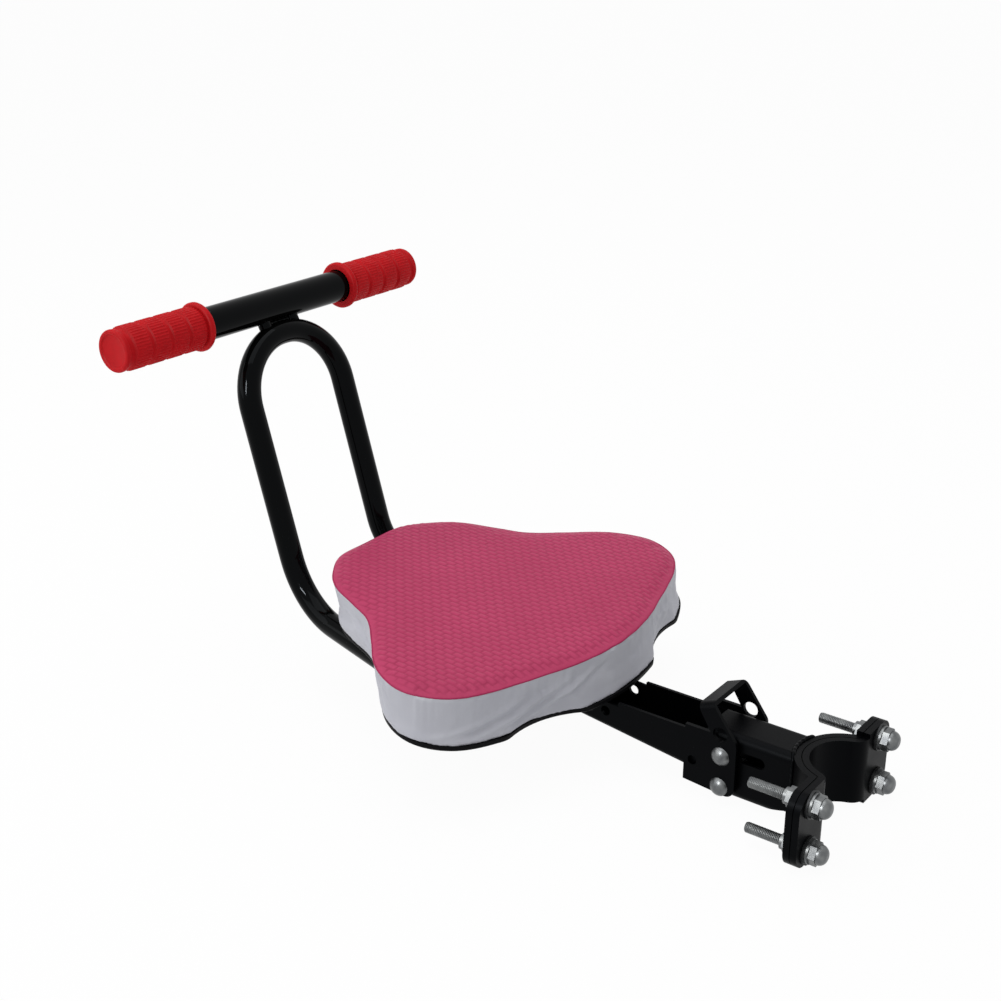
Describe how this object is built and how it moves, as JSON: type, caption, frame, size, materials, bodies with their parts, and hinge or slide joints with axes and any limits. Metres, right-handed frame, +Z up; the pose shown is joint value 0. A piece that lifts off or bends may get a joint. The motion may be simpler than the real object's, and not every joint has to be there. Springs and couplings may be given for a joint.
{
  "type": "child bicycle seat",
  "caption": "Child seat for the front of a bicycle: a seat post clamp with a folding steel arm, a padded guitar-shaped saddle and a bent tube handle with rubber grips.",
  "frame": {"origin": "on the seat post's axis, halfway up the clamp plates", "axes": "+X forward from the seat post to the handle, +Y to the rider's left, +Z up along the seat post"},
  "size_m": [0.4706, 0.276, 0.2563],
  "materials": {
    "black_paint": "satin black powder coat",
    "zinc_steel": "zinc plated",
    "black_plastic": "moulded, matt",
    "white_vinyl": "smooth coated cloth",
    "pink_vinyl": "embossed coated cloth",
    "red_rubber": "ribbed soft rubber"
  },
  "bodies": {
    "post_mount": {"arm_clamp_plate": "black_paint", "loose_clamp_plate": "black_paint", "clamp_bolts": "zinc_steel", "clamp_washers": "zinc_steel", "clamp_nuts": "zinc_steel", "rear_arm_tube": "black_paint"},
    "seat_arm": {"front_arm_channel": "black_paint", "hinge_stirrup": "black_paint", "hinge_rivet": "zinc_steel", "stop_rivet": "zinc_steel", "seat_pan": "black_paint", "seat_board": "black_plastic", "seat_cushion": "white_vinyl", "seat_top_panel": "pink_vinyl", "seat_screws": "zinc_steel", "handle_loop": "black_paint", "loop_end_plugs": "black_plastic", "handle_studs": "black_paint", "handlebar_tube": "black_paint", "grip_left": "red_rubber", "grip_right": "red_rubber"}
  },
  "joints": [
    {"name": "arm_fold", "type": "hinge", "parent": "post_mount", "child": "seat_arm", "pos_m": [0.0713, 0, 0.0069], "axis": [0, -1, 0], "range_deg": [0, 70]}
  ]
}
